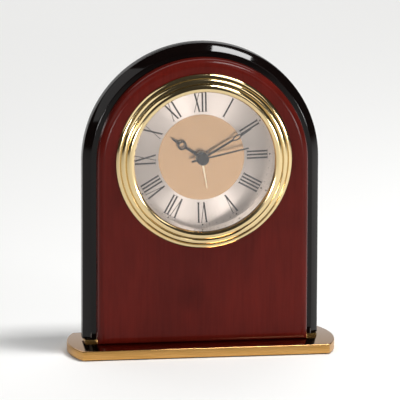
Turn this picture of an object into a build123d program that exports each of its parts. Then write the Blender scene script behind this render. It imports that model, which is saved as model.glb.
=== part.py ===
"""Arched mantel clock with an alarm quartz insert, as an assembly of separate pieces.

Frame: +X to the viewer's right, -Y to the viewer, +Z up. The origin is the middle of the base,
on the surface that the clock stands on. Lengths are in millimetres.
"""

import os
from math import cos, pi, radians, sin

from build123d import *

os.makedirs("parts", exist_ok=True)

# ---- Base -----------------------------------------------------------------------------------
FELT_THICK = 0.6
FELT_INSET = 1.5
BASE_CORNER_X = 63.0
BASE_BOW = 5.3
BASE_DEPTH = 42.0
BASE_THICK = 4.6
BASE_EDGE = 0.5
BASE_TOP = FELT_THICK + BASE_THICK

# ---- Wooden case ----------------------------------------------------------------------------
PANEL_FRONT = -9.5
PANEL_THICK = 8.0
PANEL_HALF_WIDTH = 53.7
PANEL_ROUND = 3.8
RISER_THICK = 1.3
RISER_INSET = 0.8
BOARD_HALF_WIDTH = 60.3
BOARD_THICK = 9.5
BOARD_BEVEL = 3.8
BOARD_BACK_EASE = 1.0
BOARD_FRONT = PANEL_FRONT + PANEL_THICK
BOARD_MIDDLE = BOARD_FRONT + BOARD_THICK / 2
ARCH_Z = BASE_TOP + 92.4
INSERT_BORE_R = 41.2

CASE_SCREW_PLACES = ((-38.0, BOARD_MIDDLE), (38.0, BOARD_MIDDLE))
CASE_SCREW_R = 1.8
CASE_SCREW_HEAD_R = 3.6
CASE_SCREW_LENGTH = 24.0
DOWEL_R = 3.0
DOWEL_LENGTH = 8.0
DOWEL_PLACES = ((-34.0, BASE_TOP + 26.0), (34.0, BASE_TOP + 26.0))

# ---- Clock insert: every depth is counted back from the panel's face -------------------------
DIAL_Z = ARCH_Z + 1.8
BEZEL_R = 45.0
BEZEL_OPENING_R = 35.8
BEZEL_SKIRT_R = 38.7
LENS_R = 37.5
LENS_FRONT = -2.8
LENS_THICK = 1.6
GASKET_THICK = 0.6
DIAL_R = 38.5
DIAL_DEPTH = 9.7
DIAL_THICK = 0.6
CENTRE_DISC_R = 22.0
CENTRE_DISC_THICK = 0.3
DIAL_HOLE_R = 3.2
DIAL_FOOT_R = 0.8
DIAL_FOOT_PLACES = ((-18.0, 18.0), (18.0, 18.0))
HOUSING_R = 40.5
HOUSING_WALL = 1.7
HOUSING_DEPTH = 24.8
HOUSING_BACK_THICK = 1.5
HOUSING_LEDGE_R = 36.6
HOUSING_LEDGE_THICK = 0.5
SOUND_SLOT_PLACES = ((-6.0, 30.0), (0.0, 30.0), (6.0, 30.0))
SOUND_SLOT_SIZE = (1.6, 8.0)
GRIP_DEPTH = 10.0
GRIP_WIDTH = 6.0

# ---- Movement: box, then the layers of its train, from the dial to the back ------------------
BOX_HALF_WIDTH = 27.2
BOX_TOP = 22.0
BOX_BOTTOM = -27.0
BOX_WALL = 0.9
FRONT_PLATE_DEPTH = DIAL_DEPTH + 1.1
FRONT_PLATE_THICK = 1.5
ARBOR_SOCKET_SKIN = 0.6
BOX_INSIDE_DEPTH = FRONT_PLATE_DEPTH + FRONT_PLATE_THICK

WHEEL_THICK = 0.8
LAYER_STEP = 1.2
LAYER_ALARM = BOX_INSIDE_DEPTH + 0.3
LAYER_HOUR = LAYER_ALARM + LAYER_STEP
LAYER_MOTION = LAYER_HOUR + LAYER_STEP
MIDDLE_PLATE_DEPTH = LAYER_MOTION + LAYER_STEP
MIDDLE_PLATE_THICK = 0.8
MIDDLE_PLATE_SIZE = (43.0, 30.0)
MIDDLE_PLATE_RAISE = 5.4
LAYER_CENTRE = MIDDLE_PLATE_DEPTH + LAYER_STEP
LAYER_THIRD = LAYER_CENTRE + LAYER_STEP
LAYER_SECOND = LAYER_THIRD + LAYER_STEP
LAYER_INTERMEDIATE = LAYER_SECOND + LAYER_STEP
LAYER_MAGNET = LAYER_INTERMEDIATE + 1.3
BACK_WALL_DEPTH = LAYER_MAGNET + 3.3
BACK_WALL_THICK = 1.2
BOX_BACK = BACK_WALL_DEPTH + BACK_WALL_THICK
RUNNING_GAP = 0.05
BEARING_POCKET = 0.8
BEARING_END = BACK_WALL_DEPTH + 0.7

# ---- Gear train: teeth, modules and arbor places (X, Z from the hands' axis) -----------------
ROTOR_LEAVES = 12
INTERMEDIATE_TEETH = 60
INTERMEDIATE_LEAVES = 10
SECOND_TEETH = 60
SECOND_LEAVES = 8
THIRD_TEETH = 60
THIRD_LEAVES = 8
CENTRE_TEETH = 64
MINUTE_LEAVES = 10
MOTION_TEETH = 40
MOTION_LEAVES = 12
HOUR_TEETH = 36
ALARM_LEAVES = 24
ALARM_TEETH = 36

ROTOR_MODULE = 0.25
SECOND_MODULE = 0.3
THIRD_MODULE = 0.3
MOTION_MODULE = 0.48
HOUR_MODULE = 0.5
ALARM_MODULE = 0.4

ROTOR_SPACING = ROTOR_MODULE * (INTERMEDIATE_TEETH + ROTOR_LEAVES) / 2
INTERMEDIATE_SPACING = SECOND_MODULE * (SECOND_TEETH + INTERMEDIATE_LEAVES) / 2
THIRD_SPACING = THIRD_MODULE * (THIRD_TEETH + SECOND_LEAVES) / 2
CENTRE_MODULE = 2 * THIRD_SPACING / (CENTRE_TEETH + THIRD_LEAVES)
SETTING_SPACING = HOUR_MODULE * (HOUR_TEETH + MOTION_LEAVES) / 2

THIRD_BEARING = 120.0
INTERMEDIATE_BEARING = 55.0
ROTOR_BEARING = 40.0
THIRD_AT = (THIRD_SPACING * cos(radians(THIRD_BEARING)), THIRD_SPACING * sin(radians(THIRD_BEARING)))
INTERMEDIATE_AT = (
    INTERMEDIATE_SPACING * cos(radians(INTERMEDIATE_BEARING)),
    INTERMEDIATE_SPACING * sin(radians(INTERMEDIATE_BEARING)),
)
ROTOR_AT = (
    INTERMEDIATE_AT[0] + ROTOR_SPACING * cos(radians(ROTOR_BEARING)),
    INTERMEDIATE_AT[1] + ROTOR_SPACING * sin(radians(ROTOR_BEARING)),
)
TIME_SET_AT = (-SETTING_SPACING, 0.0)
ALARM_SET_AT = (SETTING_SPACING, 0.0)

# ---- Arbors, pipes and hands ------------------------------------------------------------------
SECOND_ARBOR_R = 0.6
MINUTE_PIPE_R = 1.4
HOUR_PIPE_R = 2.0
ALARM_PIPE_R = 2.6
TRAIN_ARBOR_R = 0.5
SETTING_ARBOR_R = 0.8
MAGNET_R = 3.0

ALARM_HAND_DEPTH = DIAL_DEPTH - 1.4
HOUR_HAND_DEPTH = ALARM_HAND_DEPTH - 1.4
MINUTE_HAND_DEPTH = HOUR_HAND_DEPTH - 1.4
SECOND_HAND_DEPTH = MINUTE_HAND_DEPTH - 1.4
HUB_CAP_DEPTH = SECOND_HAND_DEPTH - 1.0
HAND_THICK = 0.3
HUB_CAP_R = 3.15

HOUR_ANGLE = 303.6
MINUTE_ANGLE = 59.4
SECOND_ANGLE = 77.6
ALARM_ANGLE = 170.0

# ---- Knobs, battery and electrical pieces -----------------------------------------------------
KNOB_R = 4.6
KNOB_DEPTH = BOX_BACK + 0.4
KNOB_LENGTH = 3.2
KNOB_FLUTES = 18

BATTERY_R = 7.2
BATTERY_LENGTH = 49.5
BATTERY_NUB_R = 2.75
BATTERY_NUB = 1.0
BATTERY_DEPTH = BOX_INSIDE_DEPTH + BATTERY_R + 0.2
BAY_TOP = -11.2
BAY_SHELF = 1.0
BATTERY_Z = (BAY_TOP + BOX_BOTTOM + BOX_WALL) / 2

MOVEMENT_SCREW_PLACES = ((-24.2, 19.0), (24.2, 19.0), (-24.2, -8.0), (24.2, -8.0))
MOVEMENT_SCREW_R = 0.9
MOVEMENT_BOSS_R = 1.9
PILLAR_PLACES = ((-19.0, 16.0), (19.0, 16.0), (19.0, -7.5))
PILLAR_R = 1.2

COIL_X = 22.4
COIL_Z = 6.0
COIL_LENGTH = 18.0
COIL_R = 2.6
COIL_DEPTH = LAYER_MAGNET - 0.5
STATOR_THICK = 0.8
STATOR_DEPTH = LAYER_MAGNET + 0.7

BOARD_PCB_X = (-25.6, -14.0)
BOARD_PCB_Z = (-4.4, 16.8)
PCB_DEPTH = LAYER_MAGNET + 1.0
PCB_THICK = 1.0
SOUNDER_AT = (-19.0, 9.6)
SOUNDER_R = 6.2
SOUNDER_THICK = 3.0
CRYSTAL_AT = (-22.6, -0.6)
CRYSTAL_R = 1.2
CRYSTAL_LENGTH = 6.0

SWITCH_AT = (-5.0, 18.0)
SWITCH_TRAVEL = 4.0
SWITCH_WIDTH = 5.0
SWITCH_HEIGHT = 3.0
SWITCH_TAB = 2.2

INSERT_SCREW_PLACES = ((-30.6, 0), (30.6, 0))
INSERT_SCREW_R = 1.1
EAR_HALF_HEIGHT = 4.0
EAR_THICK = 1.4
EAR_REACH = 34.0


def square_to_hands(depth):
    """A plane across the hands' axis at this depth; its x is +X, its y is +Z, and back is negative."""
    return Plane(origin=(0, PANEL_FRONT + depth, DIAL_Z), x_dir=(1, 0, 0), z_dir=(0, -1, 0))


def along_hand(depth, clock_angle):
    """The same plane, turned so that its y points at this angle, clockwise from twelve."""
    turn = radians(clock_angle)
    origin = (0, PANEL_FRONT + depth, DIAL_Z)
    return Plane(origin=origin, x_dir=(cos(turn), 0, -sin(turn)), z_dir=(0, -1, 0))


def half_section():
    """A plane that holds the hands' axis: its x is the radius, its y is the depth."""
    return Plane(origin=(0, PANEL_FRONT, DIAL_Z), x_dir=(1, 0, 0), z_dir=(0, 0, 1))


HANDS_AXIS = Axis((0, PANEL_FRONT, DIAL_Z), (0, 1, 0))


def draw_base_outline(inset):
    """Straight front and back, and ends bowed out to an arc."""
    x = BASE_CORNER_X - inset
    y = BASE_DEPTH / 2 - inset
    bow = BASE_CORNER_X + BASE_BOW - inset
    with BuildLine() as outline:
        Line((-x, -y), (x, -y))
        ThreePointArc((x, -y), (bow, 0), (x, y))
        Line((x, y), (-x, y))
        ThreePointArc((-x, y), (-bow, 0), (-x, -y))
    make_face(outline.edges())


def draw_arch(half_width, bottom):
    """A rectangle that ends in a half circle, from this height up."""
    with Locations((0, bottom)):
        Rectangle(2 * half_width, ARCH_Z - bottom, align=(Align.CENTER, Align.MIN))
    with Locations((0, ARCH_Z)):
        Circle(half_width)


def draw_gear(teeth, module, tooth_at, middle=(0, 0)):
    """A toothed disc with stub teeth and backlash; one tooth is centred on the tooth_at bearing."""
    pitch = 2 * pi / teeth
    root = module * (teeth / 2 - 1.0)
    tip = module * (teeth / 2 + 0.8)
    corners = []
    for number in range(teeth):
        centre = radians(tooth_at) + number * pitch
        for radius, swing in ((root, -0.30), (tip, -0.12), (tip, 0.12), (root, 0.30)):
            angle = centre + swing * pitch
            corners.append((middle[0] + radius * cos(angle), middle[1] + radius * sin(angle)))
    with BuildLine() as outline:
        Polyline(*corners, close=True)
    make_face(outline.edges())


def gap_facing(teeth, bearing):
    """The bearing of a tooth on a gear that shows a gap towards the given bearing."""
    return bearing + 180 / teeth


def draw_needle(start, end, start_width, end_width):
    """A straight tapered blade along the hand's y."""
    blade = (
        (-start_width / 2, start),
        (start_width / 2, start),
        (end_width / 2, end),
        (-end_width / 2, end),
    )
    with BuildLine() as outline:
        Polyline(*blade, close=True)
    make_face(outline.edges())


def save(name, builder):
    """Labels a finished piece and writes it under its own name."""
    builder.part.label = name
    export_step(builder.part, f"parts/{name}.step")


# ==== Base ====================================================================================

# Felt sheet under the whole base, set in a little from its edge.
with BuildPart() as felt_pad:
    with BuildSketch(Plane.XY):
        draw_base_outline(FELT_INSET)
    extrude(amount=FELT_THICK)
save("felt_pad", felt_pad)

# Brass plate with a small chamfer round its top edge and two countersunk holes from below.
with BuildPart() as base_plate:
    with BuildSketch(Plane.XY.offset(FELT_THICK)):
        draw_base_outline(0)
    extrude(amount=BASE_THICK)
    chamfer(base_plate.faces().sort_by(Axis.Z)[-1].edges(), BASE_EDGE)
    with BuildSketch(Plane.XY.offset(FELT_THICK)):
        with Locations(*CASE_SCREW_PLACES):
            Circle(CASE_SCREW_HEAD_R)
    extrude(amount=2.0, mode=Mode.SUBTRACT)
    with BuildSketch(Plane.XY.offset(FELT_THICK)):
        with Locations(*CASE_SCREW_PLACES):
            Circle(CASE_SCREW_R + 0.2)
    extrude(amount=BASE_THICK, mode=Mode.SUBTRACT)
save("base_plate", base_plate)

# Two screws that come up through the base and the riser into the board.
with BuildPart() as case_screws:
    with BuildSketch(Plane.XY.offset(FELT_THICK + 0.2)):
        with Locations(*CASE_SCREW_PLACES):
            Circle(CASE_SCREW_HEAD_R - 0.2)
    extrude(amount=1.8)
    with BuildSketch(Plane.XY.offset(FELT_THICK + 0.2)):
        with Locations(*CASE_SCREW_PLACES):
            Circle(CASE_SCREW_R)
    extrude(amount=CASE_SCREW_LENGTH)
    with BuildSketch(Plane.XY.offset(FELT_THICK + 0.2)):
        with Locations(*CASE_SCREW_PLACES):
            Rectangle(5.0, 0.9)
            Rectangle(0.9, 5.0)
    extrude(amount=1.0, mode=Mode.SUBTRACT)
save("case_screws", case_screws)

# Thin gilt strip that the black board stands on.
with BuildPart() as riser_strip:
    with BuildSketch(Plane.XY.offset(BASE_TOP)):
        with Locations((0, BOARD_MIDDLE)):
            Rectangle(2 * (BOARD_HALF_WIDTH - RISER_INSET), BOARD_THICK)
        with Locations(*CASE_SCREW_PLACES):
            Circle(CASE_SCREW_R + 0.2, mode=Mode.SUBTRACT)
    extrude(amount=RISER_THICK)
save("riser_strip", riser_strip)

# ==== Wooden case =============================================================================

# Black lacquered board: an arch with a wide bevel, bored for the insert and the fixings.
with BuildPart() as arch_board:
    with BuildSketch(Plane.XZ.offset(-BOARD_FRONT)):
        draw_arch(BOARD_HALF_WIDTH, BASE_TOP + RISER_THICK)
    extrude(amount=-BOARD_THICK)
    front_edges = arch_board.faces().sort_by(Axis.Y)[0].edges().sort_by(Axis.Z)[1:]
    chamfer(front_edges, BOARD_BEVEL)
    back_edges = arch_board.faces().sort_by(Axis.Y)[-1].edges().sort_by(Axis.Z)[1:]
    chamfer(back_edges, BOARD_BACK_EASE)
    with BuildSketch(Plane.XZ.offset(-BOARD_FRONT)):
        with Locations((0, DIAL_Z)):
            Circle(INSERT_BORE_R)
    extrude(amount=-BOARD_THICK, mode=Mode.SUBTRACT)
    with BuildSketch(Plane.XZ.offset(-BOARD_FRONT)):
        with Locations(*DOWEL_PLACES):
            Circle(DOWEL_R)
    extrude(amount=-DOWEL_LENGTH / 2, mode=Mode.SUBTRACT)
    with BuildSketch(Plane.XY.offset(BASE_TOP + RISER_THICK)):
        with Locations(*CASE_SCREW_PLACES):
            Circle(CASE_SCREW_R)
    extrude(amount=FELT_THICK + 0.2 + CASE_SCREW_LENGTH - BASE_TOP - RISER_THICK, mode=Mode.SUBTRACT)
save("arch_board", arch_board)

# Mahogany panel: a smaller arch with rounded-over front edges.
with BuildPart() as front_panel:
    with BuildSketch(Plane.XZ.offset(-PANEL_FRONT)):
        draw_arch(PANEL_HALF_WIDTH, BASE_TOP)
    extrude(amount=-PANEL_THICK)
    fillet(front_panel.faces().sort_by(Axis.Y)[0].edges(), PANEL_ROUND)
    with BuildSketch(Plane.XZ.offset(-PANEL_FRONT)):
        with Locations((0, DIAL_Z)):
            Circle(INSERT_BORE_R)
    extrude(amount=-PANEL_THICK, mode=Mode.SUBTRACT)
    with BuildSketch(Plane.XZ.offset(-BOARD_FRONT)):
        with Locations(*DOWEL_PLACES):
            Circle(DOWEL_R)
    extrude(amount=DOWEL_LENGTH / 2, mode=Mode.SUBTRACT)
save("front_panel", front_panel)

# Two beech dowels that line the panel up with the board.
with BuildPart() as dowels:
    with BuildSketch(Plane.XZ.offset(-BOARD_FRONT)):
        with Locations(*DOWEL_PLACES):
            Circle(DOWEL_R)
    extrude(amount=DOWEL_LENGTH / 2, both=True)
save("dowels", dowels)

# ==== Clock insert ============================================================================

# Polished bezel: rounded steps that climb inwards, a lip over the lens and a snap-in skirt.
with BuildPart() as bezel:
    with BuildSketch(half_section()):
        with BuildLine():
            Line((BEZEL_SKIRT_R, 0), (BEZEL_R, 0))
            Line((BEZEL_R, 0), (BEZEL_R, -0.6))
            ThreePointArc((BEZEL_R, -0.6), (44.25, -1.6), (43.1, -2.0))
            Line((43.1, -2.0), (42.7, -1.7))
            ThreePointArc((42.7, -1.7), (41.85, -2.9), (40.4, -3.3))
            Line((40.4, -3.3), (39.9, -2.95))
            ThreePointArc((39.9, -2.95), (38.95, -4.0), (37.4, -4.3))
            Line((37.4, -4.3), (36.3, -3.8))
            Line((36.3, -3.8), (BEZEL_OPENING_R, LENS_FRONT))
            Line((BEZEL_OPENING_R, LENS_FRONT), (LENS_R, LENS_FRONT))
            Line((LENS_R, LENS_FRONT), (LENS_R, 3.0))
            Line((LENS_R, 3.0), (BEZEL_SKIRT_R, 3.0))
            Line((BEZEL_SKIRT_R, 3.0), (BEZEL_SKIRT_R, 0))
        make_face()
    revolve(axis=HANDS_AXIS)
save("bezel", bezel)

with BuildPart() as lens:
    with BuildSketch(square_to_hands(LENS_FRONT)):
        Circle(LENS_R - 0.1)
    extrude(amount=-LENS_THICK)
save("lens", lens)

with BuildPart() as lens_gasket:
    with BuildSketch(square_to_hands(LENS_FRONT + LENS_THICK)):
        Circle(LENS_R)
        Circle(LENS_R - 1.4, mode=Mode.SUBTRACT)
    extrude(amount=-GASKET_THICK)
save("lens_gasket", lens_gasket)

# Bright wall between the lens and the dial.
RING_FRONT = LENS_FRONT + LENS_THICK + GASKET_THICK
with BuildPart() as dial_ring:
    with BuildSketch(half_section()):
        with BuildLine():
            Line((36.1, RING_FRONT), (37.4, RING_FRONT))
            Line((37.4, RING_FRONT), (37.4, DIAL_DEPTH))
            Line((37.4, DIAL_DEPTH), (36.4, DIAL_DEPTH))
            Line((36.4, DIAL_DEPTH), (36.1, RING_FRONT))
        make_face()
    revolve(axis=HANDS_AXIS)
save("dial_ring", dial_ring)

with BuildPart() as dial_plate:
    with BuildSketch(square_to_hands(DIAL_DEPTH)):
        Circle(DIAL_R)
        Circle(DIAL_HOLE_R, mode=Mode.SUBTRACT)
    extrude(amount=-DIAL_THICK)
    with BuildSketch(square_to_hands(DIAL_DEPTH + DIAL_THICK)):
        with Locations(*DIAL_FOOT_PLACES):
            Circle(DIAL_FOOT_R)
    extrude(amount=-1.4)
save("dial_plate", dial_plate)

with BuildPart() as dial_centre_disc:
    with BuildSketch(square_to_hands(DIAL_DEPTH - CENTRE_DISC_THICK)):
        Circle(CENTRE_DISC_R)
        Circle(DIAL_HOLE_R, mode=Mode.SUBTRACT)
    extrude(amount=-CENTRE_DISC_THICK)
save("dial_centre_disc", dial_centre_disc)

# Moulded cup that carries the dial on a ledge and the movement in a window in its back.
HOUSING_INNER_R = HOUSING_R - HOUSING_WALL
HOUSING_BACK = HOUSING_DEPTH - HOUSING_BACK_THICK
LEDGE_DEPTH = DIAL_DEPTH + DIAL_THICK
with BuildPart() as insert_housing:
    with BuildSketch(square_to_hands(0)):
        Circle(HOUSING_R)
        Circle(HOUSING_INNER_R, mode=Mode.SUBTRACT)
    extrude(amount=-HOUSING_BACK)
    with BuildSketch(square_to_hands(LEDGE_DEPTH)):
        Circle(HOUSING_R)
        Circle(HOUSING_LEDGE_R, mode=Mode.SUBTRACT)
    extrude(amount=-HOUSING_LEDGE_THICK)
    with BuildSketch(square_to_hands(HOUSING_BACK)):
        Circle(HOUSING_R)
        with Locations((0, (BOX_TOP + BOX_BOTTOM) / 2)):
            Rectangle(
                2 * BOX_HALF_WIDTH + 0.4,
                BOX_TOP - BOX_BOTTOM + 0.4,
                mode=Mode.SUBTRACT,
            )
        with Locations(*INSERT_SCREW_PLACES):
            Circle(INSERT_SCREW_R, mode=Mode.SUBTRACT)
        with Locations(*SOUND_SLOT_PLACES):
            Rectangle(*SOUND_SLOT_SIZE, mode=Mode.SUBTRACT)
    extrude(amount=-HOUSING_BACK_THICK)
save("insert_housing", insert_housing)

# Rubber band that grips the bore.
with BuildPart() as grip_band:
    with BuildSketch(square_to_hands(GRIP_DEPTH)):
        Circle(INSERT_BORE_R)
        Circle(HOUSING_R, mode=Mode.SUBTRACT)
    extrude(amount=-GRIP_WIDTH)
save("grip_band", grip_band)

# ==== Movement box ============================================================================

with BuildPart() as movement_front_plate:
    with BuildSketch(square_to_hands(FRONT_PLATE_DEPTH)):
        with Locations((0, (BOX_TOP + BOX_BOTTOM) / 2)):
            Rectangle(2 * BOX_HALF_WIDTH, BOX_TOP - BOX_BOTTOM)
        Circle(ALARM_PIPE_R + RUNNING_GAP, mode=Mode.SUBTRACT)
        with Locations(*DIAL_FOOT_PLACES):
            Circle(DIAL_FOOT_R, mode=Mode.SUBTRACT)
        with Locations(*MOVEMENT_SCREW_PLACES):
            Circle(MOVEMENT_SCREW_R, mode=Mode.SUBTRACT)
    extrude(amount=-FRONT_PLATE_THICK)
    with BuildSketch(square_to_hands(FRONT_PLATE_DEPTH + ARBOR_SOCKET_SKIN)):
        with Locations(TIME_SET_AT, ALARM_SET_AT):
            Circle(SETTING_ARBOR_R + RUNNING_GAP)
    extrude(amount=-(FRONT_PLATE_THICK - ARBOR_SOCKET_SKIN), mode=Mode.SUBTRACT)
    with BuildSketch(square_to_hands(BOX_INSIDE_DEPTH)):
        with Locations(*PILLAR_PLACES):
            Circle(PILLAR_R)
    extrude(amount=-(MIDDLE_PLATE_DEPTH - BOX_INSIDE_DEPTH))
save("movement_front_plate", movement_front_plate)

with BuildPart() as movement_middle_plate:
    with BuildSketch(square_to_hands(MIDDLE_PLATE_DEPTH)):
        with Locations((0, MIDDLE_PLATE_RAISE)):
            Rectangle(*MIDDLE_PLATE_SIZE)
        Circle(MINUTE_PIPE_R + RUNNING_GAP, mode=Mode.SUBTRACT)
        with Locations(TIME_SET_AT, ALARM_SET_AT):
            Circle(SETTING_ARBOR_R + RUNNING_GAP, mode=Mode.SUBTRACT)
        with Locations(THIRD_AT, INTERMEDIATE_AT, ROTOR_AT):
            Circle(TRAIN_ARBOR_R + RUNNING_GAP, mode=Mode.SUBTRACT)
    extrude(amount=-MIDDLE_PLATE_THICK)
save("movement_middle_plate", movement_middle_plate)

# Rear case: walls, back with the open battery bay, screw bosses, bearings and two fixing ears.
with BuildPart() as movement_rear_case:
    with BuildSketch(square_to_hands(BOX_INSIDE_DEPTH)):
        with Locations((0, (BOX_TOP + BOX_BOTTOM) / 2)):
            Rectangle(2 * BOX_HALF_WIDTH, BOX_TOP - BOX_BOTTOM)
            Rectangle(
                2 * (BOX_HALF_WIDTH - BOX_WALL),
                BOX_TOP - BOX_BOTTOM - 2 * BOX_WALL,
                mode=Mode.SUBTRACT,
            )
        with Locations((0, BAY_TOP + BAY_SHELF / 2)):
            Rectangle(2 * BOX_HALF_WIDTH, BAY_SHELF)
        with Locations(*MOVEMENT_SCREW_PLACES):
            Circle(MOVEMENT_BOSS_R)
            Circle(MOVEMENT_SCREW_R, mode=Mode.SUBTRACT)
    extrude(amount=-(BACK_WALL_DEPTH - BOX_INSIDE_DEPTH))
    with BuildSketch(square_to_hands(BACK_WALL_DEPTH)):
        with Locations((0, (BOX_TOP + BOX_BOTTOM) / 2)):
            Rectangle(2 * BOX_HALF_WIDTH, BOX_TOP - BOX_BOTTOM)
        with Locations((0, (BAY_TOP + BOX_BOTTOM + BOX_WALL) / 2)):
            Rectangle(
                2 * (BOX_HALF_WIDTH - BOX_WALL),
                BAY_TOP - BOX_BOTTOM - BOX_WALL,
                mode=Mode.SUBTRACT,
            )
        with Locations(*MOVEMENT_SCREW_PLACES):
            Circle(MOVEMENT_SCREW_R, mode=Mode.SUBTRACT)
        with Locations(TIME_SET_AT, ALARM_SET_AT):
            Circle(SETTING_ARBOR_R + RUNNING_GAP, mode=Mode.SUBTRACT)
        with Locations((SWITCH_AT[0] + SWITCH_TRAVEL / 2, SWITCH_AT[1])):
            Rectangle(SWITCH_TRAVEL + SWITCH_TAB + 0.4, SWITCH_TAB + 0.4, mode=Mode.SUBTRACT)
    extrude(amount=-BACK_WALL_THICK)
    with BuildSketch(square_to_hands(BACK_WALL_DEPTH)):
        with Locations(THIRD_AT, INTERMEDIATE_AT, ROTOR_AT):
            Circle(TRAIN_ARBOR_R + RUNNING_GAP)
        Circle(SECOND_ARBOR_R + RUNNING_GAP)
    extrude(amount=-BEARING_POCKET, mode=Mode.SUBTRACT)
    with BuildSketch(square_to_hands(HOUSING_DEPTH)):
        with Locations((-(BOX_HALF_WIDTH + EAR_REACH) / 2, 0), ((BOX_HALF_WIDTH + EAR_REACH) / 2, 0)):
            Rectangle(EAR_REACH - BOX_HALF_WIDTH, 2 * EAR_HALF_HEIGHT)
        with Locations(*INSERT_SCREW_PLACES):
            Circle(INSERT_SCREW_R + 0.15, mode=Mode.SUBTRACT)
    extrude(amount=-EAR_THICK)
save("movement_rear_case", movement_rear_case)

# Four screws that close the box, from the back.
MOVEMENT_SCREW_HEAD_R = 1.7
MOVEMENT_SCREW_HEAD = 0.9
MOVEMENT_SCREW_CROSS = (2.2, 0.5)
MOVEMENT_SCREW_CROSS_DEEP = 0.4
with BuildPart() as movement_screws:
    with BuildSketch(square_to_hands(FRONT_PLATE_DEPTH + 0.2)):
        with Locations(*MOVEMENT_SCREW_PLACES):
            Circle(MOVEMENT_SCREW_R)
    extrude(amount=-(BOX_BACK - FRONT_PLATE_DEPTH - 0.2))
    with BuildSketch(square_to_hands(BOX_BACK)):
        with Locations(*MOVEMENT_SCREW_PLACES):
            Circle(MOVEMENT_SCREW_HEAD_R)
    extrude(amount=-MOVEMENT_SCREW_HEAD)
    with BuildSketch(square_to_hands(BOX_BACK + MOVEMENT_SCREW_HEAD - MOVEMENT_SCREW_CROSS_DEEP)):
        with Locations(*MOVEMENT_SCREW_PLACES):
            Rectangle(*MOVEMENT_SCREW_CROSS)
            Rectangle(*reversed(MOVEMENT_SCREW_CROSS))
    extrude(amount=-MOVEMENT_SCREW_CROSS_DEEP, mode=Mode.SUBTRACT)
save("movement_screws", movement_screws)

# Two screws through the ears into the cup.
EAR_BACK = HOUSING_DEPTH + EAR_THICK
INSERT_SCREW_HEAD_R = 2.2
INSERT_SCREW_HEAD = 1.2
INSERT_SCREW_CROSS = (2.8, 0.6)
INSERT_SCREW_CROSS_DEEP = 0.6
with BuildPart() as insert_screws:
    with BuildSketch(square_to_hands(HOUSING_BACK)):
        with Locations(*INSERT_SCREW_PLACES):
            Circle(INSERT_SCREW_R)
    extrude(amount=-(EAR_BACK - HOUSING_BACK))
    with BuildSketch(square_to_hands(EAR_BACK)):
        with Locations(*INSERT_SCREW_PLACES):
            Circle(INSERT_SCREW_HEAD_R)
    extrude(amount=-INSERT_SCREW_HEAD)
    with BuildSketch(square_to_hands(EAR_BACK + INSERT_SCREW_HEAD - INSERT_SCREW_CROSS_DEEP)):
        with Locations(*INSERT_SCREW_PLACES):
            Rectangle(*INSERT_SCREW_CROSS)
            Rectangle(*reversed(INSERT_SCREW_CROSS))
    extrude(amount=-INSERT_SCREW_CROSS_DEEP, mode=Mode.SUBTRACT)
save("insert_screws", insert_screws)

# ==== Motor and electrical pieces =============================================================

# Copper winding on its core, upright at the side of the box.
COIL_CORE_R = 0.7
COIL_CORE_END = 1.5
with BuildPart() as coil:
    coil_plane = Plane(
        origin=(COIL_X, PANEL_FRONT + COIL_DEPTH, DIAL_Z + COIL_Z), x_dir=(1, 0, 0), z_dir=(0, 0, 1)
    )
    with BuildSketch(coil_plane):
        Circle(COIL_R)
    extrude(amount=COIL_LENGTH / 2, both=True)
    with BuildSketch(coil_plane):
        Circle(COIL_CORE_R)
    extrude(amount=COIL_LENGTH / 2 + COIL_CORE_END, both=True)
save("coil", coil)

# Stator lamination: a ring round the rotor magnet with arms to both ends of the coil.
STATOR_RIGHT = COIL_X + 1.4
STATOR_ARM = 1.6
MAGNET_GAP = 0.5
STATOR_BLOCK = 9.6
STATOR_LOWER_ARM_X = 17.0
with BuildPart() as stator:
    with BuildSketch(square_to_hands(STATOR_DEPTH)):
        with Locations(ROTOR_AT):
            Rectangle(STATOR_BLOCK, STATOR_BLOCK)
        with Locations(((ROTOR_AT[0] + STATOR_RIGHT) / 2, COIL_Z + COIL_LENGTH / 2 + 1.4)):
            Rectangle(STATOR_RIGHT - ROTOR_AT[0], STATOR_ARM)
        with Locations((STATOR_LOWER_ARM_X, (ROTOR_AT[1] + COIL_Z - COIL_LENGTH / 2 - 1.4) / 2)):
            Rectangle(STATOR_ARM, ROTOR_AT[1] - COIL_Z + COIL_LENGTH / 2 + 3.0)
        arm_left = STATOR_LOWER_ARM_X - STATOR_ARM / 2
        with Locations(((arm_left + STATOR_RIGHT) / 2, COIL_Z - COIL_LENGTH / 2 - 1.4)):
            Rectangle(STATOR_RIGHT - arm_left, STATOR_ARM)
        with Locations(ROTOR_AT):
            Circle(MAGNET_R + MAGNET_GAP, mode=Mode.SUBTRACT)
    extrude(amount=-STATOR_THICK)
save("stator", stator)

# Circuit board with its potted chip.
PCB_MIDDLE = ((BOARD_PCB_X[0] + BOARD_PCB_X[1]) / 2, (BOARD_PCB_Z[0] + BOARD_PCB_Z[1]) / 2)
CHIP_AT = (-17.6, -0.9)
CHIP_R = 2.2
CHIP_THICK = 0.9
with BuildPart() as circuit_board:
    with BuildSketch(square_to_hands(PCB_DEPTH)):
        with Locations(PCB_MIDDLE):
            Rectangle(BOARD_PCB_X[1] - BOARD_PCB_X[0], BOARD_PCB_Z[1] - BOARD_PCB_Z[0])
    extrude(amount=-PCB_THICK)
    with BuildSketch(square_to_hands(PCB_DEPTH)):
        with Locations(CHIP_AT):
            Circle(CHIP_R)
    extrude(amount=CHIP_THICK)
save("circuit_board", circuit_board)

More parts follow.
